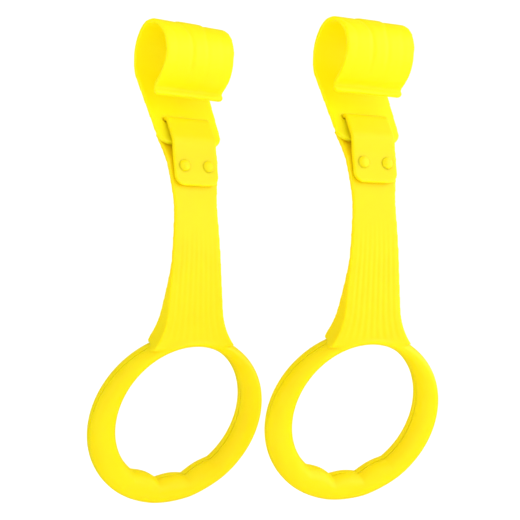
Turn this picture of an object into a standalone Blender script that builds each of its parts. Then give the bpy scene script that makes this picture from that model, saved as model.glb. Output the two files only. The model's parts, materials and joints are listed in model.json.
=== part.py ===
"""A pair of infant pull-up rings: two soft plastic handles that hang from a cot rail.

Each unit is a spring clip that curls over the rail, and a handle that hangs from the clip.
The handle is a flat strap that widens into a finger-grip ring. The strap's top end passes
up behind the clip's bar, through the clip's slot and down the front as a tongue, where two
snap studs hold it. The ring is two half shells that meet at the middle of its depth.

Metres, +Z up. Each unit is modelled once in its own frame: the origin is the rail's axis,
+X runs along the rail and -Y is the front. The pair's origin is midway between the two clips.
"""
import math

import bmesh
import bpy
from mathutils import Matrix, Vector
from mathutils.geometry import interpolate_bezier

MM = 0.001
GAP = 0.3 * MM                      # clearance kept between pieces that touch

# --- the pair: each unit stands this far from the middle, and is turned towards the viewer
UNIT_OFFSET = Vector((41.0, -22.0, 2.1)) * MM
UNIT_TURN = math.radians(5.4)

# --- spring clip
CLIP_RADIUS = 16.8 * MM             # middle of the wall, round the rail's axis
CLIP_WALL = 2.4 * MM
CLIP_HALF_WIDTH = 20.5 * MM
CURL_SPLIT = math.radians(-5.0)     # where the flexing curl leaves the frame, 0 is the back
CURL_STEP = math.radians(12.0)      # keeps one flat facet centred on the crown
LIP_START = math.radians(240.0)
LIP_TIP = Vector((-6.7, -19.4)) * MM
LIP_HEADING = math.radians(250.0)   # the lip turns out and forward
LIP_REACH = 2.6 * MM                # how far each end of its bend runs straight on
LIP_BEAD = 1.5 * MM                 # radius of the rounded tip

# --- the clip's flat frame, a plate that leans back as it rises to meet the curl
PLATE_LEAN = math.radians(34.8)
PLATE_LENGTH = 43.3 * MM            # from where it leaves the curl to its bottom edge
PLATE_BOTTOM_HALF_WIDTH = 18.4 * MM
PLATE_CORNER = 7.0 * MM
BAR_HEIGHT = 13.2 * MM
SLOT_HEIGHT = 4.0 * MM
SLOT_HALF_WIDTH = 13.2 * MM
SLOT_CORNER = 1.5 * MM

# --- ring
RING_CENTRE = Vector((0.0, -3.9, -188.7)) * MM
RING_TILT = math.radians(12.8)      # the ring's top leans forward
RING_HALF_WIDTH = 50.1 * MM
RING_HALF_HEIGHT = 47.4 * MM
RING_HALF_DEPTH = 7.2 * MM
HOLE_HALF_WIDTH = 36.8 * MM
HOLE_HALF_HEIGHT = 38.5 * MM
HOLE_RISE = 3.6 * MM                # the hole sits above the ring's centre
SHELL_WALL = 1.8 * MM
SECTION_FULLNESS = 2.3              # 2 is an ellipse, and more is boxier
SECTION_ANGLES = (26.0, 54.0, 82.0)  # where the section's outside is sampled, 90 is the crest
RING_SEGMENTS = 72
GRIP_HEIGHT = 2.0 * MM              # rise of the ridges between the fingers
GRIP_PITCH = math.radians(25.5)
GRIP_RIDGES = (-1, 0, 1)
GRIP_SHARPNESS = 0.85               # power of the ridges' wave: below 1 the ridges are broad

# --- strap
STRAP_THICKNESS = 2.6 * MM
STRAP_FRONT_Y = -20.4 * MM          # its front is flush with the front of the ring
BEND_START_Z = -107.8 * MM          # above this height it bends back towards the clip
BEND_RADIUS = 208.0 * MM
WAIST_Z = -76.0 * MM
WAIST_HALF_WIDTH = 12.0 * MM
FLARE_Z = -130.0 * MM               # below this the strap sweeps out into the ring
FLARE_HALF_WIDTH = 15.9 * MM
FLARE_RADIUS = 32.0 * MM
LOWER_TAPER = 1.15                  # power of the widening between the waist and the flare
THICKEN_TOP_Z = -104.0 * MM         # below this the strap thickens to the ring's depth
THICKEN_POWER = 1.3
KNEE_Z = -54.0 * MM                 # where it leans back to pass behind the bar
SHOULDER_Z = -40.0 * MM
SHOULDER_HALF_WIDTH = 16.6 * MM
UPPER_TAPER = 1.3                   # power of the widening between the waist and the shoulders
NECK_HALF_WIDTH = 12.0 * MM
STRAP_OVERLAP = 6.0 * MM            # how far the strap's foot reaches down into the ring
STRAP_STEP = 6.0 * MM

# --- fold and tongue
FOLD_RADIUS = 3.3 * MM              # middle of the strap, round the bar's upper edge
FOLD_DROP = 1.05 * MM               # the fold's centre lies this far below the bar's top
FOLD_STEPS = 8
TONGUE_THICKNESS = 2.4 * MM
TONGUE_KNEE = 42.0 * MM             # distance down the plate where the tongue starts to turn
TONGUE_TURNED_Z = -52.0 * MM        # and where it hangs along the strap
TONGUE_TURN_REACH = 3.0 * MM
TONGUE_STEPS = 4
TONGUE_BOTTOM_Z = -66.1 * MM
TONGUE_STANDOFF = 0.5 * MM          # between the tongue's end and the strap behind it
TONGUE_HALF_WIDTH = 12.3 * MM
TONGUE_CORNER = 5.5 * MM

# --- snap studs
STUD_X = 6.8 * MM
STUD_Z = -56.6 * MM
STUD_HEAD_RADIUS = 3.1 * MM
STUD_PROUD = 1.4 * MM               # how far the dome stands in front of the tongue
STUD_SHANK_RADIUS = 2.0 * MM
STUD_FLANGE_RADIUS = 4.0 * MM
STUD_FLANGE_THICKNESS = 1.0 * MM
STUD_STEPS = 20
TONGUE_HOLE_RADIUS = 3.5 * MM

YELLOW_STRAP = (1.0, 0.90, 0.05, 1.0)
YELLOW_CLIP = (1.0, 0.88, 0.02, 1.0)


# ---------------------------------------------------------------- directions in the YZ plane
PLATE_UP = Vector((math.sin(PLATE_LEAN), math.cos(PLATE_LEAN)))
PLATE_BACK = Vector((math.cos(PLATE_LEAN), -math.sin(PLATE_LEAN)))
SLOT_BOTTOM = PLATE_LENGTH - BAR_HEIGHT
SLOT_TOP = SLOT_BOTTOM - SLOT_HEIGHT
FOLD_LEVEL = SLOT_BOTTOM + FOLD_DROP


def on_plate(down, back=0.0):
    """The (y, z) point this far down the plate from the curl, and this far behind its middle."""
    return CLIP_RADIUS * PLATE_BACK - down * PLATE_UP + back * PLATE_BACK


def on_circle(radius, angle):
    return Vector((radius * math.cos(angle), radius * math.sin(angle)))


def steps(start, end, count):
    return [start + (end - start) * i / count for i in range(count + 1)]


# ---------------------------------------------------------------- scene and mesh helpers
def collection(name):
    found = bpy.data.collections.new(name)
    bpy.context.scene.collection.children.link(found)
    return found


def add_object(name, mesh):
    piece = bpy.data.objects.new(name, mesh)
    WORKSHOP.objects.link(piece)
    return piece


def remove_object(piece):
    bpy.data.objects.remove(piece, do_unlink=True)


def evaluated_mesh(piece):
    """The piece's mesh with its modifiers, its loose curve caps welded on."""
    graph = bpy.context.evaluated_depsgraph_get()
    mesh = bpy.data.meshes.new_from_object(piece.evaluated_get(graph))
    surface = bmesh.new()
    surface.from_mesh(mesh)
    bmesh.ops.remove_doubles(surface, verts=surface.verts, dist=0.001 * MM)
    bmesh.ops.recalc_face_normals(surface, faces=surface.faces)
    surface.to_mesh(mesh)
    surface.free()
    return mesh


SIDE_VIEW = Matrix(((0, 0, 1), (1, 0, 0), (0, 1, 0))).to_4x4()      # outline (y, z), deep in x
FRONT_VIEW = Matrix(((1, 0, 0), (0, 0, -1), (0, 1, 0))).to_4x4()    # outline (x, z), deep in y


def prism(name, outlines, half_depth, view):
    """A solid from flat outlines; an outline inside another is a hole."""
    curve = bpy.data.curves.new(name, "CURVE")
    curve.dimensions = "2D"
    curve.fill_mode = "BOTH"
    curve.extrude = half_depth
    for outline in outlines:
        spline = curve.splines.new("POLY")
        spline.points.add(len(outline) - 1)
        for point, corner in zip(spline.points, outline):
            point.co = (corner[0], corner[1], 0.0, 1.0)
        spline.use_cyclic_u = True
    guide = add_object(name + "_outline", curve)
    mesh = evaluated_mesh(guide)
    remove_object(guide)
    mesh.transform(view)
    return add_object(name, mesh)


def combine(base, other, operation):
    """Join, cut or intersect base with other, and use other up."""
    modifier = base.modifiers.new(operation.lower(), "BOOLEAN")
    modifier.operation = operation
    modifier.solver = "EXACT"
    modifier.object = other
    base.data = evaluated_mesh(base)
    base.modifiers.clear()
    remove_object(other)
    return base


def mirrored(right_side):
    """Close a right-hand outline, listed from the bottom up, with its mirror image."""
    return right_side + [(-x, z) for x, z in reversed(right_side)]


def rounded_rectangle(half_width, low, high, radius, segments=4):
    right = [(half_width - radius + radius * math.sin(a), low + radius - radius * math.cos(a))
             for a in steps(0.0, math.pi / 2, segments)]
    right += [(half_width - radius + radius * math.cos(a), high - radius + radius * math.sin(a))
              for a in steps(0.0, math.pi / 2, segments)]
    return mirrored(right)


def lay_on_plate(piece):
    """Turn a front-view piece, drawn with z as distance up the plate, onto the leaning plate."""
    y, z = on_plate(0.0)
    piece.data.transform(Matrix.Translation((0.0, y, z)) @ Matrix.Rotation(-PLATE_LEAN, 4, "X"))
    return piece


# ---------------------------------------------------------------- spring clip
def band_sides(middle, half_thickness):
    """The left and right sides of a band of even thickness along a line of (y, z) points."""
    left, right = [], []
    last = len(middle) - 1
    for i, point in enumerate(middle):
        along = (middle[min(i + 1, last)] - middle[max(i - 1, 0)]).normalized()
        across = Vector((-along.y, along.x)) * half_thickness
        left.append(point + across)
        right.append(point - across)
    return left, right


def band(middle, half_thickness):
    left, right = band_sides(middle, half_thickness)
    return left + right[::-1]


def make_hook_frame():
    """Flat plate with the strap's slot and bar, rising into the start of the curl."""
    middle = [on_plate(PLATE_LENGTH)]
    middle += [on_circle(CLIP_RADIUS, a) for a in
               steps(-PLATE_LEAN, CURL_SPLIT - GAP / CLIP_RADIUS, 3)]
    frame = prism("hook_frame", [band(middle, CLIP_WALL / 2)], CLIP_HALF_WIDTH, SIDE_VIEW)

    right = [(PLATE_BOTTOM_HALF_WIDTH - PLATE_CORNER * (1 - math.sin(a)),
              -PLATE_LENGTH + PLATE_CORNER * (1 - math.cos(a)))
             for a in steps(0.0, math.pi / 2, 6)]
    right += [(CLIP_HALF_WIDTH, 0.0), (CLIP_HALF_WIDTH, CLIP_RADIUS)]
    outline = prism("frame_outline", [mirrored(right)], CLIP_RADIUS, FRONT_VIEW)
    frame = combine(frame, lay_on_plate(outline), "INTERSECT")

    hole = rounded_rectangle(SLOT_HALF_WIDTH, -SLOT_BOTTOM, -SLOT_TOP, SLOT_CORNER)
    slot = prism("slot_cutter", [hole], 3 * CLIP_WALL, FRONT_VIEW)
    return combine(frame, lay_on_plate(slot), "DIFFERENCE")


def lip_curve():
    """The curl's end, bending out and down to the lip's tip."""
    root = on_circle(CLIP_RADIUS, LIP_START)
    leaving = root + on_circle(LIP_REACH, LIP_START + math.pi / 2)
    arriving = LIP_TIP - on_circle(LIP_REACH, LIP_HEADING)
    return interpolate_bezier(root, leaving, arriving, LIP_TIP, 7)


def make_hook_curl():
    """Wall that curls over the rail and ends in a rounded, turned-out lip."""
    angles = [CURL_SPLIT] + [CURL_STEP * i for i in range(round(LIP_START / CURL_STEP) + 1)]
    lip_inside, lip_outside = band_sides(lip_curve(), CLIP_WALL / 2)
    inside = [on_circle(CLIP_RADIUS - CLIP_WALL / 2, a) for a in angles] + lip_inside[1:]
    outside = [on_circle(CLIP_RADIUS + CLIP_WALL / 2, a) for a in angles] + lip_outside[1:]
    curl = prism("hook_curl", [inside + outside[::-1]], CLIP_HALF_WIDTH, SIDE_VIEW)
    bead = [LIP_TIP + on_circle(LIP_BEAD, a) for a in steps(0.0, 2 * math.pi, 12)[:-1]]
    return combine(curl, prism("lip", [bead], CLIP_HALF_WIDTH - LIP_BEAD / 2, SIDE_VIEW), "UNION")


# ---------------------------------------------------------------- ring
def outer_edge(angle):
    return Vector((RING_HALF_WIDTH * math.cos(angle), RING_HALF_HEIGHT * math.sin(angle)))


def hole_edge(angle):
    """The hole's edge, drawn in at the bottom by the ridges between the fingers."""
    away = (angle + math.pi / 2 + math.pi) % (2 * math.pi) - math.pi
    ridge = 0.0
    if abs(away) < GRIP_PITCH * len(GRIP_RIDGES) / 2:
        ridge = abs(math.cos(math.pi * away / GRIP_PITCH)) ** GRIP_SHARPNESS
    reach = 1 - ridge * GRIP_HEIGHT / HOLE_HALF_HEIGHT
    return Vector((HOLE_HALF_WIDTH * math.cos(angle) * reach,
                   HOLE_RISE + HOLE_HALF_HEIGHT * math.sin(angle) * reach))


def swollen(value):
    """The power that makes a circle's sine or cosine into a fuller section's."""
    return math.copysign(abs(value) ** (2 / SECTION_FULLNESS), value)


def shell_section():
    """Half of the ring's section as (across, inset, depth), open at the seam: across runs from 1
    at the rim to -1 at the hole, less an inset of so many metres."""
    seam = GAP / 2
    half = [(swollen(math.cos(math.radians(a))), swollen(math.sin(math.radians(a))))
            for a in SECTION_ANGLES]
    half[-1] = (half[-1][0], 1.0)           # a narrow flat crest, on which the ring lies level
    arch = half + [(-across, depth) for across, depth in reversed(half)]
    outside = [(across, 0.0, depth * RING_HALF_DEPTH) for across, depth in arch]
    inside = [(across, SHELL_WALL, depth * (RING_HALF_DEPTH - SHELL_WALL))
              for across, depth in reversed(arch)]
    return ([(1.0, 0.0, seam)] + outside + [(-1.0, 0.0, seam), (-1.0, SHELL_WALL, seam)]
            + inside + [(1.0, SHELL_WALL, seam)])


def make_ring_shell(name, side):
    """Half shell lofted round the ring; side is -1 for the front and +1 for the rear."""
    surface = bmesh.new()
    loops = []
    for i in range(RING_SEGMENTS):
        angle = 2 * math.pi * i / RING_SEGMENTS
        outer, inner = outer_edge(angle), hole_edge(angle)
        middle, half = (outer + inner) / 2, (outer - inner) / 2
        loop = []
        for across, inset, depth in shell_section():
            spot = middle + half * across * (1 - inset / half.length)
            loop.append(surface.verts.new((spot.x, side * depth, spot.y)))
        loops.append(loop)
    for i, loop in enumerate(loops):
        following = loops[(i + 1) % RING_SEGMENTS]
        for j in range(len(loop)):
            k = (j + 1) % len(loop)
            surface.faces.new((loop[j], loop[k], following[k], following[j]))
    bmesh.ops.recalc_face_normals(surface, faces=surface.faces)
    mesh = bpy.data.meshes.new(name)
    surface.to_mesh(mesh)
    surface.free()
    mesh.transform(ring_placement())
    return add_object(name, mesh)


def ring_placement():
    return Matrix.Translation(RING_CENTRE) @ Matrix.Rotation(RING_TILT, 4, "X")


# ---------------------------------------------------------------- strap
RING_TOP_Z = RING_CENTRE.z + RING_HALF_HEIGHT * math.cos(RING_TILT)
RING_CREST = (RING_HALF_HEIGHT + HOLE_RISE + HOLE_HALF_HEIGHT) / 2
RING_BACK_Y = (RING_CENTRE.y - RING_CREST * math.sin(RING_TILT)
               + RING_HALF_DEPTH * math.cos(RING_TILT))
STRAP_BOTTOM_Z = RING_TOP_Z - STRAP_OVERLAP


def strap_front_y(z):
    return STRAP_FRONT_Y + max(0.0, z - BEND_START_Z) ** 2 / (2 * BEND_RADIUS)


def strap_half_width(z):
    if z > WAIST_Z:
        share = (z - WAIST_Z) / (SHOULDER_Z - WAIST_Z)
        return WAIST_HALF_WIDTH + (SHOULDER_HALF_WIDTH - WAIST_HALF_WIDTH) * share ** UPPER_TAPER
    share = (WAIST_Z - z) / (WAIST_Z - FLARE_Z)
    width = WAIST_HALF_WIDTH + (FLARE_HALF_WIDTH - WAIST_HALF_WIDTH) * share ** LOWER_TAPER
    below = max(0.0, FLARE_Z - z)
    return width + FLARE_RADIUS - math.sqrt(FLARE_RADIUS ** 2 - below ** 2)


def strap_thickness(z):
    share = min(1.0, max(0.0, (THICKEN_TOP_Z - z) / (THICKEN_TOP_Z - RING_TOP_Z)))
    root = RING_BACK_Y - STRAP_FRONT_Y
    return STRAP_THICKNESS + (root - STRAP_THICKNESS) * share ** THICKEN_POWER


def strap_levels(start, end):
    return steps(start, end, round((end - start) / STRAP_STEP))


def strap_side_outline():
    """Side view: as deep as the ring at its foot, then one thin band up to the fold's end."""
    half = STRAP_THICKNESS / 2
    middle = [Vector((strap_front_y(z) + half, z)) for z in strap_levels(THICKEN_TOP_Z, KNEE_Z)]
    middle.append(on_plate(PLATE_LENGTH + half / 2, FOLD_RADIUS))
    middle.append(on_plate(FOLD_LEVEL + FOLD_RADIUS / 2, FOLD_RADIUS))
    fold_end = math.pi - GAP / FOLD_RADIUS
    turns = steps(0.0, fold_end - GAP / FOLD_RADIUS, FOLD_STEPS) + [fold_end]
    middle += [on_plate(FOLD_LEVEL) + on_circle(FOLD_RADIUS, a - PLATE_LEAN) for a in turns]
    front, back = band_sides(middle, half)
    root = [Vector((strap_front_y(STRAP_BOTTOM_Z), STRAP_BOTTOM_Z)),
            Vector((RING_BACK_Y, STRAP_BOTTOM_Z))]
    root += [Vector((strap_front_y(z) + strap_thickness(z), z))
             for z in strap_levels(RING_TOP_Z, THICKEN_TOP_Z)[:-1]]
    return root + back + front[::-1]


def strap_front_outline():
    """Front view: flares to the ring, narrows to a waist, widens to shoulders below the bar."""
    right = [(strap_half_width(z), z) for z in strap_levels(STRAP_BOTTOM_Z, SHOULDER_Z)]
    right.append((NECK_HALF_WIDTH, SHOULDER_Z))
    right.append((NECK_HALF_WIDTH, SHOULDER_Z + 4 * FOLD_RADIUS))
    return mirrored(right)


def stud_placement(x):
    """Stands a turned stud (+Z out of the head) on the strap's front face at this x."""
    lean = math.atan((STUD_Z - BEND_START_Z) / BEND_RADIUS)
    turn = Matrix.Rotation(math.pi / 2 - lean, 4, "X")
    return Matrix.Translation((x, strap_front_y(STUD_Z), STUD_Z)) @ turn


def make_handle_front():
    """The front shell of the ring and the strap, one moulding."""
    strap = prism("handle_front", [strap_side_outline()], RING_HALF_WIDTH / 2, SIDE_VIEW)
    front_view = prism("strap_outline", [strap_front_outline()], RING_HALF_WIDTH, FRONT_VIEW)
    strap = combine(strap, front_view, "INTERSECT")

    around = steps(0.0, 2 * math.pi, RING_SEGMENTS)[:-1]
    beyond_rim = 1 + GAP / RING_HALF_HEIGHT
    rear_room = prism("rear_room", [[outer_edge(a) * beyond_rim for a in around]],
                      RING_HALF_DEPTH, FRONT_VIEW)
    rear_room.data.transform(ring_placement()
                             @ Matrix.Translation((0.0, RING_HALF_DEPTH - GAP / 2, 0.0)))
    strap = combine(strap, rear_room, "DIFFERENCE")
    hand_room = prism("hand_room", [[(outer_edge(a) + hole_edge(a)) / 2 for a in around]],
                      2 * RING_HALF_DEPTH, FRONT_VIEW)
    hand_room.data.transform(ring_placement())
    strap = combine(strap, hand_room, "DIFFERENCE")
    strap = combine(strap, make_ring_shell("front_shell", -1), "UNION")

    for x in (-STUD_X, STUD_X):
        reach = 2 * STRAP_THICKNESS
        hole = turned("shank_hole", [(0.0, reach), (STUD_SHANK_RADIUS + GAP, reach),
                                     (STUD_SHANK_RADIUS + GAP, -reach), (0.0, -reach)])
        hole.data.transform(stud_placement(x))
        strap = combine(strap, hole, "DIFFERENCE")
    return strap


# ---------------------------------------------------------------- tongue and studs
def make_strap_tongue():
    """Front flap: from the fold's front edge down over the bar, with two holes for studs."""
    knee = on_plate(TONGUE_KNEE, -FOLD_RADIUS)
    stand = TONGUE_STANDOFF + TONGUE_THICKNESS / 2
    hanging = [Vector((strap_front_y(z) - stand, z)) for z in
               steps(TONGUE_TURNED_Z, TONGUE_BOTTOM_Z, TONGUE_STEPS)]
    down = (hanging[1] - hanging[0]).normalized() * TONGUE_TURN_REACH
    middle = [on_plate(FOLD_LEVEL, -FOLD_RADIUS)]
    middle += interpolate_bezier(knee, knee - PLATE_UP * TONGUE_TURN_REACH, hanging[0] - down,
                                 hanging[0], TONGUE_STEPS + 1)
    middle += hanging[1:]
    tongue = prism("strap_tongue", [band(middle, TONGUE_THICKNESS / 2)],
                   RING_HALF_WIDTH, SIDE_VIEW)
    low = TONGUE_BOTTOM_Z - TONGUE_THICKNESS
    corner = [(TONGUE_HALF_WIDTH - TONGUE_CORNER * (1 - math.sin(a)),
               TONGUE_BOTTOM_Z + TONGUE_CORNER * (1 - math.cos(a)))
              for a in steps(0.0, math.pi / 2, 5)]
    right = [(corner[0][0], low)] + corner + [(TONGUE_HALF_WIDTH, 0.0)]
    outline = prism("tongue_outline", [mirrored(right)], RING_HALF_WIDTH, FRONT_VIEW)
    tongue = combine(tongue, outline, "INTERSECT")
    for x in (-STUD_X, STUD_X):
        reach = 3 * TONGUE_THICKNESS
        hole = turned("stud_hole", [(0.0, reach), (TONGUE_HOLE_RADIUS, reach),
                                    (TONGUE_HOLE_RADIUS, -reach), (0.0, -reach)])
        hole.data.transform(stud_placement(x))
        tongue = combine(tongue, hole, "DIFFERENCE")
    return tongue


def turned(name, profile):
    """A solid turned about +Z from (radius, height) points listed from the top down."""
    mesh = bpy.data.meshes.new(name)
    mesh.from_pydata([(r, 0.0, z) for r, z in profile],
                     [(i, i + 1) for i in range(len(profile) - 1)], [])
    piece = add_object(name, mesh)
    screw = piece.modifiers.new("turn", "SCREW")
    screw.axis = "Z"
    screw.steps = STUD_STEPS
    screw.render_steps = STUD_STEPS
    screw.use_merge_vertices = True
    screw.merge_threshold = 0.01 * MM
    piece.data = evaluated_mesh(piece)
    piece.modifiers.clear()
    return piece


def make_snap_stud(name, x):
    """Push-in stud: domed head in the tongue's hole, shank through the strap, flange behind."""
    tongue_face = TONGUE_STANDOFF + TONGUE_THICKNESS
    flange_top = -STRAP_THICKNESS - GAP
    profile = [(STUD_HEAD_RADIUS * math.sin(a), tongue_face + STUD_PROUD * math.cos(a))
               for a in steps(0.0, math.pi / 2, 4)]
    profile += [(STUD_HEAD_RADIUS, GAP), (STUD_SHANK_RADIUS, GAP),
                (STUD_SHANK_RADIUS, flange_top), (STUD_FLANGE_RADIUS, flange_top),
                (STUD_FLANGE_RADIUS, flange_top - STUD_FLANGE_THICKNESS),
                (0.0, flange_top - STUD_FLANGE_THICKNESS)]
    stud = turned(name, profile)
    stud.data.transform(stud_placement(x))
    return stud


# ---------------------------------------------------------------- assembly
def plastic(name, colour, roughness):
    material = bpy.data.materials.new(name)
    material.use_nodes = True
    shader = material.node_tree.nodes["Principled BSDF"]
    shader.inputs["Base Color"].default_value = colour
    shader.inputs["Roughness"].default_value = roughness
    return material


def pivot_points():
    """Unit-frame points on the three hinge axes, all along the rail's direction."""
    swing = on_plate(PLATE_LENGTH - BAR_HEIGHT / 2)
    tongue = on_plate(FOLD_LEVEL, -FOLD_RADIUS - STRAP_THICKNESS / 2)
    flex = on_circle(CLIP_RADIUS + CLIP_WALL / 2, CURL_SPLIT)
    return {name: Vector((0.0, spot.x, spot.y)) for name, spot in
            (("swing", swing), ("tongue", tongue), ("flex", flex))}


def add_empty(name, parent, spot):
    empty = bpy.data.objects.new(name, None)
    PAIR.objects.link(empty)
    empty.parent = parent
    empty.location = spot
    empty.empty_display_size = 0.01
    return empty


def place_unit(prefix, side, pieces, materials):
    """One unit of the pair: side -1 is the left, +1 the right."""
    pivots = pivot_points()
    clip = add_empty(prefix + "clip_origin", None, side * UNIT_OFFSET)
    clip.rotation_euler = (0.0, 0.0, -side * UNIT_TURN)
    swing = add_empty(prefix + "swing_axis", clip, pivots["swing"])
    tongue = add_empty(prefix + "tongue_axis", swing, pivots["tongue"] - pivots["swing"])
    flex = add_empty(prefix + "flex_axis", clip, pivots["flex"])
    parents = {"hook_frame": (clip, Vector()), "hook_curl": (flex, pivots["flex"]),
               "strap_tongue": (tongue, pivots["tongue"])}
    for name, mesh in pieces.items():
        parent, offset = parents.get(name, (swing, pivots["swing"]))
        piece = bpy.data.objects.new(prefix + name, mesh)
        PAIR.objects.link(piece)
        piece.parent = parent
        piece.location = -offset
        if not mesh.materials:
            mesh.materials.append(materials["clip" if name.startswith("hook") else "handle"])


for old in list(bpy.data.objects):
    bpy.data.objects.remove(old, do_unlink=True)
WORKSHOP = collection("workshop")
PAIR = collection("pull_up_rings")

MODELS = (make_hook_frame(), make_hook_curl(), make_handle_front(),
          make_ring_shell("ring_rear_shell", 1), make_strap_tongue(),
          make_snap_stud("snap_stud_a", -STUD_X), make_snap_stud("snap_stud_b", STUD_X))
PIECES = {}
for model in MODELS:
    PIECES[model.name] = model.data
    remove_object(model)
for mesh in PIECES.values():
    mesh.shade_smooth()
    mesh.set_sharp_from_angle(angle=math.radians(35))

PLASTICS = {"clip": plastic("clip_plastic", YELLOW_CLIP, 0.28),
            "handle": plastic("handle_plastic", YELLOW_STRAP, 0.32)}
place_unit("left_", -1, PIECES, PLASTICS)
place_unit("right_", 1, PIECES, PLASTICS)
bpy.data.collections.remove(WORKSHOP)
bpy.context.view_layer.update()
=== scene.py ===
"""Looks for a pair of infant pull-up rings: fine skins, materials, light and camera.

Every shape is modelled once in a unit's own frame (origin on the rail's axis, +X along the
rail, -Y the front) and then placed on the left and on the right unit.
"""

import json
import math

import bmesh
import bpy
from mathutils import Matrix, Vector
from mathutils.geometry import interpolate_bezier


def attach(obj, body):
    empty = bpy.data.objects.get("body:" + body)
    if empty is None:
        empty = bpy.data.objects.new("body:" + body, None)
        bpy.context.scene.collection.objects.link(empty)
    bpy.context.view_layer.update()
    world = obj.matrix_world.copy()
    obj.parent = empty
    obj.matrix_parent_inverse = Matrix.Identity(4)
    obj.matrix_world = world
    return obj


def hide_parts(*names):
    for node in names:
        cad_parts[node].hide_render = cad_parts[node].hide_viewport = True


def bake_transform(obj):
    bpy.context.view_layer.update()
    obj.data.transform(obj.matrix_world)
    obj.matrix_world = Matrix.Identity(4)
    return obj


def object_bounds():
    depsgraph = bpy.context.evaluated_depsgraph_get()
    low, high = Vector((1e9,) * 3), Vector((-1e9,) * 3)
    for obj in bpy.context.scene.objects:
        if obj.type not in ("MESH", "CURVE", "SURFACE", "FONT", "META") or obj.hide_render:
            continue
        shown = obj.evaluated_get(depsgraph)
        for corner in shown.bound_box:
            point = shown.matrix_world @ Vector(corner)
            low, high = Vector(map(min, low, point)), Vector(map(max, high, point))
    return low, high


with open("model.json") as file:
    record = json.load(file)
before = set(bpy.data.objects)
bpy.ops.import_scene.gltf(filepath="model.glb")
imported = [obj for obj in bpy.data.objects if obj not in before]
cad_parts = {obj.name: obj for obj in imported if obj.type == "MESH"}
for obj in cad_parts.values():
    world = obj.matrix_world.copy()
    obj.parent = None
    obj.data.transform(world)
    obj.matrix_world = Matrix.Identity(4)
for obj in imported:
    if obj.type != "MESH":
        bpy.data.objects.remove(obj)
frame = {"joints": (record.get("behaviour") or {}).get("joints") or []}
CAD_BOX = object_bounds()

MM = 0.001
UNITS = ("left", "right")

# --- spring clip
CLIP_RADIUS = 16.8 * MM             # middle of the wall, round the rail's axis
CLIP_WALL = 2.4 * MM
CLIP_HALF_WIDTH = 20.5 * MM
CURL_SPLIT = math.radians(-5.0)     # where the CAD's curl leaves its frame, 0 is the back
LIP_START = math.radians(240.0)
LIP_TIP = Vector((-6.7, -19.4)) * MM
LIP_HEADING = math.radians(250.0)   # the lip turns out and forward
LIP_REACH = 2.6 * MM                # how far each end of its bend runs straight on
LIP_BEAD = 1.5 * MM                 # radius of the rounded tip
LIP_CORNER = 3.2 * MM               # rounding of the lip's two ends
LIP_CORNER_POWER = 6                # keeps that rounding close to the ends
PLATE_LEAN = math.radians(34.8)
PLATE_LENGTH = 43.3 * MM            # from where it leaves the curl to its bottom edge
PLATE_BOTTOM_HALF_WIDTH = 18.4 * MM
PLATE_CORNER = 7.0 * MM
BAR_HEIGHT = 13.2 * MM
SLOT_HEIGHT = 3.7 * MM
SLOT_HALF_WIDTH = 12.7 * MM
SLOT_CORNER = 1.5 * MM

# --- the curl's moulded relief: a raised band between two soft grooves, and fainter ones beside
# Each pair of angles is where a change starts and ends, round the rail from the back.
BAND_TOP_HALF_WIDTH = 7.8 * MM
BAND_FRONT_HALF_WIDTH = 4.4 * MM
BAND_NARROWS = (math.radians(95), math.radians(155))
BAND_RISE = 0.5 * MM
BAND_FLATTENS = 0.7                 # share of its rise that the band loses as it narrows
BAND_EDGE = 2.4 * MM
GROOVE_HALF_WIDTH = 1.3 * MM
# Each groove is a place, in half widths of the band, and a depth.
GROOVES = ((-1.0, 0.42 * MM), (1.0, 0.26 * MM), (3.0, 0.14 * MM), (-3.2, 0.14 * MM))
RELIEF_RISES = (math.radians(10), math.radians(40))
RELIEF_FADES = (math.radians(190), math.radians(225))
FRONT_TAPER = 0.09                  # the curl's left end draws in by this share at the front
TAPER_GROWS = (math.radians(80), math.radians(150))
TAPER_FADES = (math.radians(165), LIP_START)

# --- ring
RING_CENTRE = Vector((0.0, -3.9, -188.7)) * MM
RING_TILT = math.radians(12.8)      # the ring's top leans forward
RING_HALF_WIDTH = 50.1 * MM
RING_HALF_HEIGHT = 47.4 * MM
RING_HALF_DEPTH = 7.2 * MM
HOLE_HALF_WIDTH = 36.8 * MM
HOLE_HALF_HEIGHT = 38.5 * MM
HOLE_RISE = 3.6 * MM                # the hole sits above the ring's centre
SECTION_FULLNESS = 2.3              # 2 is an ellipse, and more is boxier
SEAM_GAP = 0.16 * MM
SEAM_CHAMFER = 0.15 * MM
GRIP_HEIGHT = 2.3 * MM              # rise of the ridges between the fingers
GRIP_PITCH = math.radians(25.5)
GRIP_RIDGES = 3
GRIP_SHARPNESS = 0.85               # power of the ridges' wave: below 1 the ridges are broad

# --- strap
STRAP_THICKNESS = 2.6 * MM
STRAP_FRONT_Y = -20.4 * MM          # its front is flush with the front of the ring
BEND_START_Z = -107.8 * MM          # above this height it bends back towards the clip
BEND_RADIUS = 208.0 * MM
WAIST_Z = -76.0 * MM
WAIST_HALF_WIDTH = 12.0 * MM
FLARE_Z = -130.0 * MM               # below this the strap sweeps out into the ring
FLARE_HALF_WIDTH = 15.9 * MM
FLARE_RADIUS = 32.0 * MM
LOWER_TAPER = 1.15                  # power of the widening between the waist and the flare
THICKEN_TOP_Z = -104.0 * MM         # below this the strap thickens to the ring's depth
THICKEN_POWER = 1.3
KNEE_Z = -54.0 * MM                 # where it leans back to pass behind the bar
SHOULDER_Z = -40.0 * MM
SHOULDER_HALF_WIDTH = 16.6 * MM
UPPER_TAPER = 1.3                   # power of the widening between the waist and the shoulders
NECK_HALF_WIDTH = 12.2 * MM
STRAP_OVERLAP = 6.0 * MM            # how far the strap's foot reaches down into the ring
RIB_COUNT = 10
RIB_HEIGHT = 0.09 * MM
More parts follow.
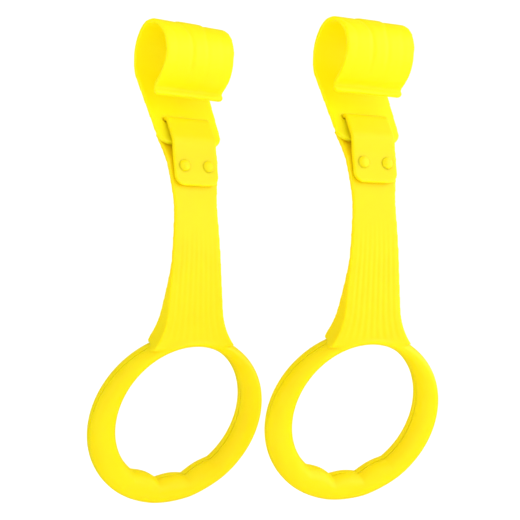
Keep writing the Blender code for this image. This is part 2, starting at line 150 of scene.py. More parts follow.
RIB_TOP_Z = -80.0 * MM              # the ribs fade in between these two heights,
RIB_FULL_Z = -112.0 * MM
RIB_FOOT = 5.0 * MM                 # fade out over this distance below the ring's top,
RIB_SIDES = (0.8, 0.95)             # and fade out between these shares of the half width

# --- fold and tongue
FOLD_RADIUS = 3.3 * MM              # middle of the strap, round the bar's upper edge
FOLD_DROP = 1.05 * MM               # the fold's centre lies this far below the bar's top
FOLD_OVERLAP = math.radians(12.0)   # the tongue's root reaches this far past the fold's back
TONGUE_THICKNESS = 2.5 * MM
TONGUE_KNEE = 40.5 * MM             # distance down the plate where the tongue starts to turn
TONGUE_TURNED_Z = -52.0 * MM        # and where it hangs along the strap
TONGUE_TURN_REACH = 4.4 * MM
TONGUE_BOTTOM_Z = -66.1 * MM
TONGUE_STANDOFF = 0.5 * MM          # between the tongue's end and the strap behind it
TONGUE_HALF_WIDTH = 12.3 * MM
TONGUE_CORNER = 5.5 * MM
TONGUE_HOLE_RADIUS = 3.13 * MM

# --- snap studs
STUD_X = 6.8 * MM
STUD_Z = -56.6 * MM
STUD_HEAD_RADIUS = 3.1 * MM
STUD_PROUD = 1.3 * MM               # how far the dome stands in front of the tongue
STUD_SHANK_RADIUS = 2.0 * MM
STUD_FLANGE_RADIUS = 4.0 * MM
STUD_FLANGE_THICKNESS = 1.0 * MM

# --- how finely the shapes are made
CLIP_VOXEL = 0.5 * MM
CLIP_ROUNDING = 8                   # smoothing passes that soften a skin's edges
STRAP_VOXEL = 0.48 * MM
STRAP_ROUNDING = 5
TONGUE_VOXEL = 0.4 * MM
TONGUE_ROUNDING = 6
PLATE_STEPS = 8
PLATE_CORNER_STEPS = 16
CURL_STEPS = 96
LIP_STEPS = 16
BEAD_STEPS = 24
SECTION_STEPS = 28
RING_SEGMENTS = 288
RIM_STEPS = 144
STRAP_STEPS = 40
STRAP_ROOT_STEPS = 30
STRAP_WIDTH_STEPS = 48
FOLD_STEPS = 24
TONGUE_STEPS = 12
STUD_STEPS = 48
DOME_STEPS = 12
FLANGE_STEPS = 8
WELD_DISTANCE = 0.001 * MM
SHARP_ANGLE = math.radians(40)      # edges bent more than this stay sharp

# --- directions and places that follow from the sizes
PLATE_UP = Vector((math.sin(PLATE_LEAN), math.cos(PLATE_LEAN)))
PLATE_BACK = Vector((math.cos(PLATE_LEAN), -math.sin(PLATE_LEAN)))
SLOT_BOTTOM = PLATE_LENGTH - BAR_HEIGHT
SLOT_TOP = SLOT_BOTTOM - SLOT_HEIGHT
FOLD_LEVEL = SLOT_BOTTOM + FOLD_DROP
RING_TOP_Z = RING_CENTRE.z + RING_HALF_HEIGHT * math.cos(RING_TILT)
RING_CREST = (RING_HALF_HEIGHT + HOLE_RISE + HOLE_HALF_HEIGHT) / 2
RING_BACK_Y = (RING_CENTRE.y - RING_CREST * math.sin(RING_TILT)
               + RING_HALF_DEPTH * math.cos(RING_TILT))
STRAP_BOTTOM_Z = RING_TOP_Z - STRAP_OVERLAP


# ---------------------------------------------------------------- small helpers
def on_plate(down, back=0.0):
    """The (y, z) point this far down the plate from the curl, and this far behind its middle."""
    return CLIP_RADIUS * PLATE_BACK - down * PLATE_UP + back * PLATE_BACK


def on_circle(radius, angle):
    return Vector((radius * math.cos(angle), radius * math.sin(angle)))


def steps(start, end, count):
    return [start + (end - start) * i / count for i in range(count + 1)]


def ease(low, high, value):
    """0 below low, 1 above high, and smooth between them."""
    share = min(1.0, max(0.0, (value - low) / (high - low)))
    return share * share * (3 - 2 * share)


def add_object(name, data):
    piece = bpy.data.objects.new(name, data)
    bpy.context.scene.collection.objects.link(piece)
    return piece


def evaluated_mesh(piece):
    """The piece's mesh with its modifiers applied, and with its loose curve caps welded on."""
    graph = bpy.context.evaluated_depsgraph_get()
    mesh = bpy.data.meshes.new_from_object(piece.evaluated_get(graph))
    surface = bmesh.new()
    surface.from_mesh(mesh)
    bmesh.ops.remove_doubles(surface, verts=surface.verts, dist=WELD_DISTANCE)
    bmesh.ops.recalc_face_normals(surface, faces=surface.faces)
    surface.to_mesh(mesh)
    surface.free()
    return mesh


SIDE_VIEW = Matrix(((0, 0, 1), (1, 0, 0), (0, 1, 0))).to_4x4()      # outline (y, z), deep in x
FRONT_VIEW = Matrix(((1, 0, 0), (0, 0, -1), (0, 1, 0))).to_4x4()    # outline (x, z), deep in y


def prism(name, outlines, half_depth, view):
    """A solid from flat outlines; an outline inside another is a hole. Those that only cut are
    made deep enough to pass right through."""
    curve = bpy.data.curves.new(name, "CURVE")
    curve.dimensions = "2D"
    curve.fill_mode = "BOTH"
    curve.extrude = half_depth
    for outline in outlines:
        spline = curve.splines.new("POLY")
        spline.points.add(len(outline) - 1)
        for point, corner in zip(spline.points, outline):
            point.co = (corner[0], corner[1], 0.0, 1.0)
        spline.use_cyclic_u = True
    guide = add_object(name + "_outline", curve)
    mesh = evaluated_mesh(guide)
    bpy.data.objects.remove(guide, do_unlink=True)
    mesh.transform(view)
    return add_object(name, mesh)


def combine(base, other, operation):
    """Join, cut or intersect base with other, and use other up."""
    modifier = base.modifiers.new(operation.lower(), "BOOLEAN")
    modifier.operation = operation
    modifier.solver = "EXACT"
    modifier.object = other
    base.data = evaluated_mesh(base)
    base.modifiers.clear()
    bpy.data.objects.remove(other, do_unlink=True)
    return base


def skinned(piece, voxel, passes):
    """Remake the piece as one even skin, with its edges softened as a moulding's are."""
    skin = piece.modifiers.new("skin", "REMESH")
    skin.mode = "VOXEL"
    skin.voxel_size = voxel
    rounding = piece.modifiers.new("rounding", "SMOOTH")
    rounding.factor = 0.5
    rounding.iterations = passes
    piece.data = evaluated_mesh(piece)
    piece.modifiers.clear()
    piece.data.shade_smooth()
    return piece


def finished_mesh(piece):
    mesh = piece.data
    bpy.data.objects.remove(piece, do_unlink=True)
    return mesh


def mirrored(right_side):
    """Close a right-hand outline, listed from the bottom up, with its mirror image."""
    return right_side + [(-x, z) for x, z in reversed(right_side)]


def rounded_rectangle(half_width, low, high, radius, segments=6):
    right = [(half_width - radius + radius * math.sin(a), low + radius - radius * math.cos(a))
             for a in steps(0.0, math.pi / 2, segments)]
    right += [(half_width - radius + radius * math.cos(a), high - radius + radius * math.sin(a))
              for a in steps(0.0, math.pi / 2, segments)]
    return mirrored(right)


def lay_on_plate(piece):
    """Turn a front-view piece, drawn with z as distance up the plate, onto the leaning plate."""
    y, z = on_plate(0.0)
    piece.data.transform(Matrix.Translation((0.0, y, z)) @ Matrix.Rotation(-PLATE_LEAN, 4, "X"))
    return piece


def band_sides(middle, half_thickness):
    """The left and right sides of a band of even thickness along a line of (y, z) points."""
    left, right = [], []
    last = len(middle) - 1
    for i, point in enumerate(middle):
        along = (middle[min(i + 1, last)] - middle[max(i - 1, 0)]).normalized()
        across = Vector((-along.y, along.x)) * half_thickness
        left.append(point + across)
        right.append(point - across)
    return left, right


def band(middle, half_thickness):
    left, right = band_sides(middle, half_thickness)
    return left + right[::-1]


# ---------------------------------------------------------------- spring clip
def curl_relief(x, angle):
    """Height of the moulded relief over the curl's outside."""
    narrowing = ease(*BAND_NARROWS, angle)
    half = BAND_TOP_HALF_WIDTH + (BAND_FRONT_HALF_WIDTH - BAND_TOP_HALF_WIDTH) * narrowing
    height = BAND_RISE * (1 - ease(half - BAND_EDGE / 2, half + BAND_EDGE / 2, abs(x)))
    height *= 1 - BAND_FLATTENS * narrowing
    for place, depth in GROOVES:
        height -= depth * math.exp(-((x - place * half) / GROOVE_HALF_WIDTH) ** 2)
    return height * ease(*RELIEF_RISES, angle) * (1 - ease(*RELIEF_FADES, angle))


def lip_curve():
    """The curl's end, bending out and down to the lip's tip."""
    root = on_circle(CLIP_RADIUS, LIP_START)
    leaving = root + on_circle(LIP_REACH, LIP_START + math.pi / 2)
    arriving = LIP_TIP - on_circle(LIP_REACH, LIP_HEADING)
    return interpolate_bezier(root, leaving, arriving, LIP_TIP, LIP_STEPS)


def lip_inset(x, z):
    """How far in a point of the lip moves, to round the lip's two ends."""
    drop = min(1.0, (LIP_TIP.y + LIP_BEAD - z) / LIP_CORNER)
    inset = LIP_CORNER * (1 - math.sqrt(1 - drop ** 2))
    return math.copysign(inset * (x / CLIP_HALF_WIDTH) ** LIP_CORNER_POWER, x)


def shape_clip_skin(mesh):
    """Round the lip's ends, raise the relief, and draw in the curl's left end."""
    for vertex in mesh.vertices:
        x, y, z = vertex.co
        radius = math.hypot(y, z)
        angle = math.atan2(z, y) % (2 * math.pi)
        on_lip = y < LIP_TIP.x / 2 and z < LIP_TIP.y + LIP_BEAD
        if on_lip and radius < CLIP_RADIUS + 2 * LIP_CORNER:
            vertex.co.x -= lip_inset(x, z)
        if angle > LIP_START or radius < CLIP_RADIUS - CLIP_WALL:
            continue
        outside = ease(-CLIP_WALL / 2, CLIP_WALL / 2, radius - CLIP_RADIUS)
        lift = curl_relief(x, angle) * outside
        vertex.co.y += lift * y / radius
        vertex.co.z += lift * z / radius
        if x < 0:
            drawn_in = ease(*TAPER_GROWS, angle) * (1 - ease(*TAPER_FADES, angle))
            vertex.co.x = x * (1 - FRONT_TAPER * drawn_in)


def make_clip():
    """Plate, curl and lip as one springy moulding."""
    middle = [on_plate(d) for d in steps(PLATE_LENGTH, 0.0, PLATE_STEPS)]
    middle += [on_circle(CLIP_RADIUS, a) for a in steps(-PLATE_LEAN, LIP_START, CURL_STEPS)[1:]]
    middle += lip_curve()[1:]
    clip = prism("clip", [band(middle, CLIP_WALL / 2)], CLIP_HALF_WIDTH, SIDE_VIEW)

    right = [(PLATE_BOTTOM_HALF_WIDTH - PLATE_CORNER * (1 - math.sin(a)),
              -PLATE_LENGTH + PLATE_CORNER * (1 - math.cos(a)))
             for a in steps(0.0, math.pi / 2, PLATE_CORNER_STEPS)]
    right += [(CLIP_HALF_WIDTH, 0.0), (CLIP_HALF_WIDTH, 4 * CLIP_RADIUS)]
    outline = prism("clip_outline", [mirrored(right)], 4 * CLIP_RADIUS, FRONT_VIEW)
    clip = combine(clip, lay_on_plate(outline), "INTERSECT")
    hole = rounded_rectangle(SLOT_HALF_WIDTH, -SLOT_BOTTOM, -SLOT_TOP, SLOT_CORNER)
    slot = prism("slot", [hole], 3 * CLIP_WALL, FRONT_VIEW)
    clip = combine(clip, lay_on_plate(slot), "DIFFERENCE")

    bead = [LIP_TIP + on_circle(LIP_BEAD, a) for a in steps(0.0, 2 * math.pi, BEAD_STEPS)[:-1]]
    clip = combine(clip, prism("bead", [bead], CLIP_HALF_WIDTH - LIP_BEAD / 2, SIDE_VIEW), "UNION")
    clip = skinned(clip, CLIP_VOXEL, CLIP_ROUNDING)
    shape_clip_skin(clip.data)
    return finished_mesh(clip)


# ---------------------------------------------------------------- ring
def outer_edge(angle):
    return Vector((RING_HALF_WIDTH * math.cos(angle), RING_HALF_HEIGHT * math.sin(angle)))


def hole_edge(angle):
    """The hole's edge, drawn in at the bottom by the ridges between the fingers."""
    away = (angle + math.pi / 2 + math.pi) % (2 * math.pi) - math.pi    # from the hole's bottom
    ridge = 0.0
    if abs(away) < GRIP_PITCH * GRIP_RIDGES / 2:
        ridge = abs(math.cos(math.pi * away / GRIP_PITCH)) ** GRIP_SHARPNESS
    reach = 1 - ridge * GRIP_HEIGHT / HOLE_HALF_HEIGHT
    return Vector((HOLE_HALF_WIDTH * math.cos(angle) * reach,
                   HOLE_RISE + HOLE_HALF_HEIGHT * math.sin(angle) * reach))


def swollen(value):
    """The power that makes a circle's sine or cosine into a fuller section's."""
    return math.copysign(abs(value) ** (2 / SECTION_FULLNESS), value)


def shell_section():
    """Half of the ring's section as (across, inset, depth), with its edges at the seam chamfered:
    across runs from 1 at the rim to -1 at the hole, less an inset of so many metres."""
    seam = SEAM_GAP / 2
    groove = [(3 * SEAM_CHAMFER, seam), (SEAM_CHAMFER, seam), (0.0, seam + SEAM_CHAMFER)]
    points = [(1.0, inset, depth) for inset, depth in groove]
    points += [(swollen(math.cos(a)), 0.0, RING_HALF_DEPTH * swollen(math.sin(a)))
               for a in steps(0.0, math.pi, SECTION_STEPS)[2:-2]]
    points += [(-1.0, inset, depth) for inset, depth in groove[::-1]]
    return points


def ring_placement():
    return Matrix.Translation(RING_CENTRE) @ Matrix.Rotation(RING_TILT, 4, "X")


def make_ring_half(name, side):
    """Half of the ring lofted round it; side is -1 for the front and +1 for the rear."""
    surface = bmesh.new()
    loops = []
    section = shell_section()
    for i in range(RING_SEGMENTS):
        angle = 2 * math.pi * i / RING_SEGMENTS
        outer, inner = outer_edge(angle), hole_edge(angle)
        middle, half = (outer + inner) / 2, (outer - inner) / 2
        loop = []
        for across, inset, depth in section:
            spot = middle + half * across * (1 - inset / half.length)
            loop.append(surface.verts.new((spot.x, side * depth, spot.y)))
        loops.append(loop)
    for i, loop in enumerate(loops):
        following = loops[(i + 1) % RING_SEGMENTS]
        for j in range(len(loop)):
            k = (j + 1) % len(loop)
            surface.faces.new((loop[j], loop[k], following[k], following[j]))
    bmesh.ops.recalc_face_normals(surface, faces=surface.faces)
    mesh = bpy.data.meshes.new(name)
    surface.to_mesh(mesh)
    surface.free()
    mesh.transform(ring_placement())
    return add_object(name, mesh)


def make_ring_rear():
    ring = make_ring_half("ring_rear", 1)
    ring.data.shade_smooth()
    ring.data.set_sharp_from_angle(angle=SHARP_ANGLE)
    return finished_mesh(ring)


# ---------------------------------------------------------------- strap and ring front
def strap_front_y(z):
    return STRAP_FRONT_Y + max(0.0, z - BEND_START_Z) ** 2 / (2 * BEND_RADIUS)


def strap_half_width(z):
    if z > WAIST_Z:
        share = (z - WAIST_Z) / (SHOULDER_Z - WAIST_Z)
        return WAIST_HALF_WIDTH + (SHOULDER_HALF_WIDTH - WAIST_HALF_WIDTH) * share ** UPPER_TAPER
    share = (WAIST_Z - z) / (WAIST_Z - FLARE_Z)
    width = WAIST_HALF_WIDTH + (FLARE_HALF_WIDTH - WAIST_HALF_WIDTH) * share ** LOWER_TAPER
    below = max(0.0, FLARE_Z - z)
    return width + FLARE_RADIUS - math.sqrt(FLARE_RADIUS ** 2 - below ** 2)


def strap_thickness(z):
    share = min(1.0, max(0.0, (THICKEN_TOP_Z - z) / (THICKEN_TOP_Z - RING_TOP_Z)))
    root = RING_BACK_Y - STRAP_FRONT_Y
    return STRAP_THICKNESS + (root - STRAP_THICKNESS) * share ** THICKEN_POWER


def strap_side_outline():
    """Side view: as deep as the ring at its foot, then one thin band up behind the clip's bar."""
    half = STRAP_THICKNESS / 2
    middle = [Vector((strap_front_y(z) + half, z))
              for z in steps(THICKEN_TOP_Z, KNEE_Z, STRAP_STEPS)]
    middle += [on_plate(d, FOLD_RADIUS) for d in
               steps(PLATE_LENGTH + half / 2, FOLD_LEVEL - FOLD_RADIUS / 4, PLATE_STEPS)]
    front, back = band_sides(middle, half)
    root = [Vector((strap_front_y(STRAP_BOTTOM_Z), STRAP_BOTTOM_Z)),
            Vector((RING_BACK_Y, STRAP_BOTTOM_Z))]
    root += [Vector((strap_front_y(z) + strap_thickness(z), z))
             for z in steps(RING_TOP_Z, THICKEN_TOP_Z, STRAP_ROOT_STEPS)[:-1]]
    return root + back + front[::-1]


def strap_front_outline():
    """Front view: flares to the ring, narrows to a waist, widens to shoulders below the bar."""
    right = [(strap_half_width(z), z)
             for z in steps(STRAP_BOTTOM_Z, SHOULDER_Z, STRAP_WIDTH_STEPS)]
    right.append((NECK_HALF_WIDTH, SHOULDER_Z))
    right.append((NECK_HALF_WIDTH, SHOULDER_Z + 4 * FOLD_RADIUS))
    return mirrored(right)


def raise_ribs(mesh):
    """Fine ribs down the front of the strap's lower half."""
    for vertex in mesh.vertices:
        x, y, z = vertex.co
        if z < STRAP_BOTTOM_Z or y > strap_front_y(z) + STRAP_THICKNESS / 3:
            continue
        across = x / strap_half_width(z)
        shown = ease(RIB_TOP_Z, RIB_FULL_Z, z) * (1 - ease(*RIB_SIDES, abs(across)))
        shown *= ease(RING_TOP_Z - RIB_FOOT, RING_TOP_Z, z)
        vertex.co.y -= RIB_HEIGHT * shown * math.cos(math.pi * RIB_COUNT * across)


def make_strap():
    """The strap and the front half of the ring, one moulding with fine ribs down the strap."""
    strap = prism("strap", [strap_side_outline()], RING_HALF_WIDTH / 2, SIDE_VIEW)
    outline = prism("strap_outline", [strap_front_outline()], RING_HALF_WIDTH, FRONT_VIEW)
    strap = combine(strap, outline, "INTERSECT")
    around = steps(0.0, 2 * math.pi, RIM_STEPS)[:-1]
    beyond_rim = 1 + SEAM_GAP / RING_HALF_HEIGHT
    rim = prism("behind_seam", [[outer_edge(a) * beyond_rim for a in around]],
                RING_HALF_DEPTH, FRONT_VIEW)
    rim.data.transform(ring_placement()
                       @ Matrix.Translation((0.0, RING_HALF_DEPTH - SEAM_GAP / 2, 0.0)))
    strap = combine(strap, rim, "DIFFERENCE")
    middle_line = [(outer_edge(a) + hole_edge(a)) / 2 for a in around]
    hole = prism("hole", [middle_line], 2 * RING_HALF_DEPTH, FRONT_VIEW)
    hole.data.transform(ring_placement())
    strap = combine(strap, hole, "DIFFERENCE")
    strap = combine(strap, make_ring_half("ring_front", -1), "UNION")
    strap = skinned(strap, STRAP_VOXEL, STRAP_ROUNDING)
    raise_ribs(strap.data)
    return finished_mesh(strap)


# ---------------------------------------------------------------- tongue and studs
def turned(name, profile):
    """A solid turned about +Z from (radius, height) points listed from the top down."""
    mesh = bpy.data.meshes.new(name)
    mesh.from_pydata([(r, 0.0, z) for r, z in profile],
                     [(i, i + 1) for i in range(len(profile) - 1)], [])
    piece = add_object(name, mesh)
    screw = piece.modifiers.new("turn", "SCREW")
    screw.axis = "Z"
    screw.steps = STUD_STEPS
    screw.render_steps = STUD_STEPS
    screw.use_merge_vertices = True
    screw.merge_threshold = 0.01 * MM
    piece.data = evaluated_mesh(piece)
    piece.modifiers.clear()
    return piece


def stud_placement(x):
    """Stands a turned stud (+Z out of the head) on the strap's front face at this x."""
    lean = math.atan((STUD_Z - BEND_START_Z) / BEND_RADIUS)
    turn = Matrix.Rotation(math.pi / 2 - lean, 4, "X")
    return Matrix.Translation((x, strap_front_y(STUD_Z), STUD_Z)) @ turn


def make_tongue():
    """The strap's end, over the bar and down the front, with two holes for the studs."""
    stand = TONGUE_STANDOFF + TONGUE_THICKNESS / 2
    hanging = [Vector((strap_front_y(z) - stand, z)) for z in
               steps(TONGUE_TURNED_Z, TONGUE_BOTTOM_Z, TONGUE_STEPS)]
    knee = on_plate(TONGUE_KNEE, -FOLD_RADIUS)
    down = (hanging[1] - hanging[0]).normalized()
    middle = [on_plate(FOLD_LEVEL) + on_circle(FOLD_RADIUS, a - PLATE_LEAN)
              for a in steps(-FOLD_OVERLAP, math.pi, FOLD_STEPS)]
    middle += interpolate_bezier(knee, knee - PLATE_UP * TONGUE_TURN_REACH,
                                 hanging[0] - down * TONGUE_TURN_REACH, hanging[0],
                                 TONGUE_STEPS)
    middle += hanging[1:]
    tongue = prism("tongue", [band(middle, TONGUE_THICKNESS / 2)], TONGUE_HALF_WIDTH + MM, SIDE_VIEW)

    low = TONGUE_BOTTOM_Z - TONGUE_THICKNESS
    corner = [(TONGUE_HALF_WIDTH - TONGUE_CORNER * (1 - math.sin(a)),
               TONGUE_BOTTOM_Z + TONGUE_CORNER * (1 - math.cos(a)))
              for a in steps(0.0, math.pi / 2, TONGUE_STEPS)]
    right = [(corner[0][0], low)] + corner + [(TONGUE_HALF_WIDTH, 0.0)]
    outline = prism("tongue_outline", [mirrored(right)], RING_HALF_WIDTH, FRONT_VIEW)
    tongue = combine(tongue, outline, "INTERSECT")
    tongue = skinned(tongue, TONGUE_VOXEL, TONGUE_ROUNDING)
    reach = 3 * TONGUE_THICKNESS
    for x in (-STUD_X, STUD_X):
        hole = turned("stud_hole", [(0.0, reach), (TONGUE_HOLE_RADIUS, reach),
                                    (TONGUE_HOLE_RADIUS, -reach), (0.0, -reach)])
        hole.data.transform(stud_placement(x))
        tongue = combine(tongue, hole, "DIFFERENCE")
    tongue.data.shade_smooth()
    tongue.data.set_sharp_from_angle(angle=SHARP_ANGLE)
    return finished_mesh(tongue)


def make_stud(x):
    """Push-in stud: domed head in the tongue's hole, shank through the strap, flange behind."""
    face = TONGUE_STANDOFF + TONGUE_THICKNESS
    flange_top = -STRAP_THICKNESS - SEAM_GAP
    lip = STUD_FLANGE_THICKNESS / 2
    profile = [(STUD_HEAD_RADIUS * math.sin(a), face + STUD_PROUD * math.cos(a))
               for a in steps(0.0, math.pi / 2, DOME_STEPS)]
    profile += [(STUD_HEAD_RADIUS, SEAM_GAP), (STUD_SHANK_RADIUS, SEAM_GAP),
                (STUD_SHANK_RADIUS, flange_top)]
    profile += [(STUD_FLANGE_RADIUS - lip + lip * math.sin(a), flange_top - lip + lip * math.cos(a))
                for a in steps(0.0, math.pi, FLANGE_STEPS)]
    profile.append((0.0, flange_top - STUD_FLANGE_THICKNESS))
    stud = turned("stud", profile)
    stud.data.transform(stud_placement(x))
    stud.data.shade_smooth()
    stud.data.set_sharp_from_angle(angle=SHARP_ANGLE)
    return finished_mesh(stud)


# ---------------------------------------------------------------- materials
MIX_COLOUR_A, MIX_COLOUR_B, MIX_COLOUR_RESULT = 6, 7, 2     # a mix node's sockets for colours


def moulded_plastic(name, colour, deep_colour, roughness, glow_depth):
    """Glossy soft plastic: light sinks a little way in, and the skin has a faint moulded grain."""
    material = bpy.data.materials.new(name)
    material.use_nodes = True
    nodes = material.node_tree.nodes
    links = material.node_tree.links
    shader = nodes["Principled BSDF"]
    shader.inputs["Subsurface Weight"].default_value = 0.85
    shader.inputs["Subsurface Radius"].default_value = (1.0, 0.9, 0.1)
    shader.inputs["Subsurface Scale"].default_value = glow_depth
    shader.inputs["IOR"].default_value = 1.45
    shader.inputs["Specular IOR Level"].default_value = 0.4

    place = nodes.new("ShaderNodeTexCoord")
    cloud = nodes.new("ShaderNodeTexNoise")
    cloud.inputs["Scale"].default_value = 45.0
    cloud.inputs["Detail"].default_value = 3.0
    links.new(place.outputs["Object"], cloud.inputs["Vector"])
    tint = nodes.new("ShaderNodeMix")
    tint.data_type = "RGBA"
    tint.inputs[MIX_COLOUR_A].default_value = deep_colour
    tint.inputs[MIX_COLOUR_B].default_value = colour
    spread = nodes.new("ShaderNodeMapRange")
    spread.inputs["From Min"].default_value = 0.3
    spread.inputs["From Max"].default_value = 0.6
    links.new(cloud.outputs["Fac"], spread.inputs["Value"])
    links.new(spread.outputs["Result"], tint.inputs["Factor"])
    links.new(tint.outputs[MIX_COLOUR_RESULT], shader.inputs["Base Color"])

    polish = nodes.new("ShaderNodeMapRange")
    polish.inputs["To Min"].default_value = roughness - 0.05
    polish.inputs["To Max"].default_value = roughness + 0.07
    links.new(cloud.outputs["Fac"], polish.inputs["Value"])
    links.new(polish.outputs["Result"], shader.inputs["Roughness"])

    grain = nodes.new("ShaderNodeTexNoise")
    grain.inputs["Scale"].default_value = 900.0
    grain.inputs["Detail"].default_value = 2.0
    links.new(place.outputs["Object"], grain.inputs["Vector"])
    bump = nodes.new("ShaderNodeBump")
    bump.inputs["Strength"].default_value = 0.12
    bump.inputs["Distance"].default_value = 0.05 * MM
    links.new(grain.outputs["Fac"], bump.inputs["Height"])
    links.new(bump.outputs["Normal"], shader.inputs["Normal"])
    return material


CLIP_PLASTIC = moulded_plastic("clip_skin", colour=(1.0, 0.79, 0.0, 1.0),
                               deep_colour=(1.0, 0.77, 0.0, 1.0), roughness=0.42,
                               glow_depth=7.0 * MM)
HANDLE_PLASTIC = moulded_plastic("handle_skin", colour=(1.0, 0.755, 0.0, 1.0),
                                 deep_colour=(1.0, 0.73, 0.0, 1.0), roughness=0.38,
                                 glow_depth=2.0 * MM)


# ---------------------------------------------------------------- putting the units together
def joint_record(name):
    return next(j for j in frame["joints"] if j["name"] == name)


def unit_placement(side):
    """The unit's own frame, found from its curl's hinge, which lies along the rail."""
    flex = joint_record(side + "_curl_flex")
    along = -Vector(flex["axis"]).normalized()
    up = Vector((0.0, 0.0, 1.0))
    turn = Matrix((along, up.cross(along), up)).transposed()
    hinge = on_circle(CLIP_RADIUS + CLIP_WALL / 2, CURL_SPLIT)
    origin = Vector(flex["pos_m"]) - turn @ Vector((0.0, hinge.x, hinge.y))
    return Matrix.Translation(origin) @ turn.to_4x4()


def add_piece(side, name, mesh, material):
    data = mesh.copy()
    data.transform(unit_placement(side))
    data.materials.clear()
    data.materials.append(material)
    piece = add_object(side + "_" + name, data)
    return piece


CLIP = make_clip()
RING_REAR = make_ring_rear()
STRAP = make_strap()
TONGUE = make_tongue()
STUDS = {"a": make_stud(-STUD_X), "b": make_stud(STUD_X)}


def add_unit(side):
    """One unit's pieces: the strap, the ring's rear and the studs on the handle's body; the clip and
    the tongue, which flex, baked in place on no body.
    """
    clip = add_piece(side, "clip", CLIP, CLIP_PLASTIC)
    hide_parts(side + "_hook_frame", side + "_hook_curl")
    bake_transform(clip)

    strap = add_piece(side, "strap_and_ring_front", STRAP, HANDLE_PLASTIC)
    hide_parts(side + "_handle_front")
    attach(strap, side + "_handle")

    rear = add_piece(side, "ring_rear", RING_REAR, HANDLE_PLASTIC)
    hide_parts(side + "_ring_rear_shell")
    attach(rear, side + "_handle")

    tongue = add_piece(side, "tongue", TONGUE, HANDLE_PLASTIC)
    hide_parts(side + "_strap_tongue")
    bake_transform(tongue)

    for letter, mesh in STUDS.items():
        stud = add_piece(side, "stud_" + letter, mesh, HANDLE_PLASTIC)
        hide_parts(side + "_snap_stud_" + letter)
        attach(stud, side + "_handle")


for side in UNITS:
    add_unit(side)


# ---------------------------------------------------------------- camera, light and floor
LENS = 56.23                        # mm, on a sensor this many mm wide
SENSOR_WIDTH = 36.0
VIEW_AZIMUTH = math.radians(-27.76)
VIEW_ELEVATION = math.radians(2.9)
VIEW_ROLL = math.radians(1.66)
VIEW_DISTANCE = 428.1 * MM
AIM_ACROSS = -3.9 * MM
AIM_HEIGHT = -105.45 * MM
LIGHT_DISTANCE = 0.9
SURROUND_LIGHT = 1.0
REFLECTED_LIGHT = 0.05              # the surround as the plastic mirrors it
FLOOR_DROP = 40.0 * MM              # between the rings' lowest point and the floor
FLOOR_HALF_WIDTH = 3.0
FLOOR_FRONT = -3.0
FLOOR_BACK = 1.5                    # where the floor starts to sweep up
SWEEP_RADIUS = 0.8
SWEEP_STEPS = 16
BACKDROP_HEIGHT = 3.0


def add_camera():
    """The camera, a little above the rings' middle and to their left, and slightly rolled."""
    back = Vector((math.sin(VIEW_AZIMUTH) * math.cos(VIEW_ELEVATION),
                   -math.cos(VIEW_AZIMUTH) * math.cos(VIEW_ELEVATION),
                   math.sin(VIEW_ELEVATION)))
    right = (-back).cross(Vector((0.0, 0.0, 1.0))).normalized()
    up = right.cross(-back)
    aim = right * AIM_ACROSS + Vector((0.0, 0.0, AIM_HEIGHT))
    rolled_right = right * math.cos(VIEW_ROLL) + up * math.sin(VIEW_ROLL)
    rolled_up = up * math.cos(VIEW_ROLL) - right * math.sin(VIEW_ROLL)
    camera = bpy.data.cameras.new("camera")
    camera.lens = LENS
    camera.sensor_width = SENSOR_WIDTH
    camera.clip_start = 0.01
    camera.clip_end = 20.0
    holder = add_object("camera", camera)
    turn = Matrix((rolled_right, rolled_up, back)).transposed()
    holder.matrix_world = Matrix.Translation(aim + back * VIEW_DISTANCE) @ turn.to_4x4()
    bpy.context.scene.camera = holder


def add_softbox(name, azimuth, elevation, size, radiance):
    """A soft panel that faces the object; azimuth 0 is the front and 90 is the right. Its energy
    follows from the radiance wanted, in W per square metre and steradian."""
    turn, rise = math.radians(azimuth), math.radians(elevation)
    away = Vector((math.sin(turn) * math.cos(rise), -math.cos(turn) * math.cos(rise),
                   math.sin(rise)))
    light = bpy.data.lights.new(name, "AREA")
    light.shape = "RECTANGLE"
    light.size, light.size_y = size
    light.energy = radiance * math.pi * size[0] * size[1]
    holder = add_object(name, light)
    holder.location = (CAD_BOX[0] + CAD_BOX[1]) / 2 + away * LIGHT_DISTANCE
    holder.rotation_mode = "QUATERNION"
    holder.rotation_quaternion = away.to_track_quat("Z", "Y")
    holder.visible_camera = False


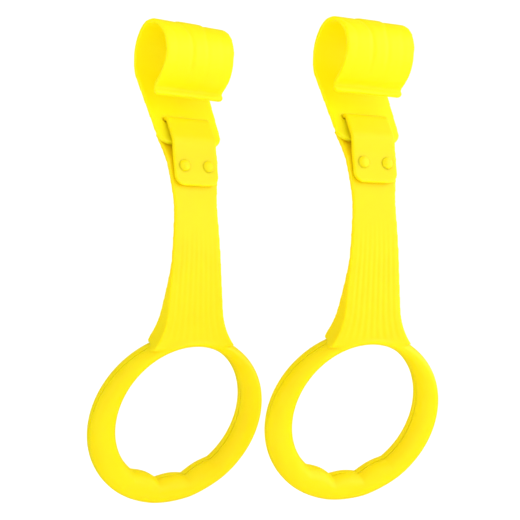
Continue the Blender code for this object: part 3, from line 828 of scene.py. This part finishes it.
def add_world():
    """A white surround that lights everything evenly, and is dimmer in reflections."""
    world = bpy.data.worlds.new("studio")
    world.use_nodes = True
    nodes = world.node_tree.nodes
    links = world.node_tree.links
    background = nodes["Background"]
    background.inputs["Color"].default_value = (1.0, 1.0, 1.0, 1.0)
    path = nodes.new("ShaderNodeLightPath")
    choose = nodes.new("ShaderNodeMix")
    choose.inputs["A"].default_value = SURROUND_LIGHT
    choose.inputs["B"].default_value = REFLECTED_LIGHT
    links.new(path.outputs["Is Glossy Ray"], choose.inputs["Factor"])
    links.new(choose.outputs["Result"], background.inputs["Strength"])
    bpy.context.scene.world = world


def add_floor():
    """A pale floor below the rings that sweeps up into a backdrop behind them."""
    low = CAD_BOX[0].z - FLOOR_DROP
    profile = [(FLOOR_FRONT, low), (FLOOR_BACK, low)]
    profile += [(FLOOR_BACK + SWEEP_RADIUS * math.sin(a), low + SWEEP_RADIUS * (1 - math.cos(a)))
                for a in steps(0.0, math.pi / 2, SWEEP_STEPS)[1:]]
    profile.append((FLOOR_BACK + SWEEP_RADIUS, low + BACKDROP_HEIGHT))
    mesh = bpy.data.meshes.new("floor")
    points = [(x, y, z) for y, z in profile for x in (-FLOOR_HALF_WIDTH, FLOOR_HALF_WIDTH)]
    faces = [(2 * i, 2 * i + 1, 2 * i + 3, 2 * i + 2) for i in range(len(profile) - 1)]
    mesh.from_pydata(points, [], faces)
    mesh.shade_smooth()
    floor = add_object("floor", mesh)
    floor.visible_glossy = False
    material = bpy.data.materials.new("pale_floor")
    material.use_nodes = True
    shader = material.node_tree.nodes["Principled BSDF"]
    shader.inputs["Base Color"].default_value = (0.95, 0.95, 0.95, 1.0)
    shader.inputs["Roughness"].default_value = 0.9
    shader.inputs["Emission Color"].default_value = (1.0, 1.0, 1.0, 1.0)
    shader.inputs["Emission Strength"].default_value = 0.12
    mesh.materials.append(material)


add_camera()
add_softbox("key", azimuth=60.0, elevation=18.0, size=(1.3, 1.2), radiance=1.1)
add_softbox("strip", azimuth=-79.0, elevation=5.0, size=(0.1, 1.2), radiance=0.8)
add_world()
add_floor()
bpy.context.scene.view_settings.view_transform = "Standard"
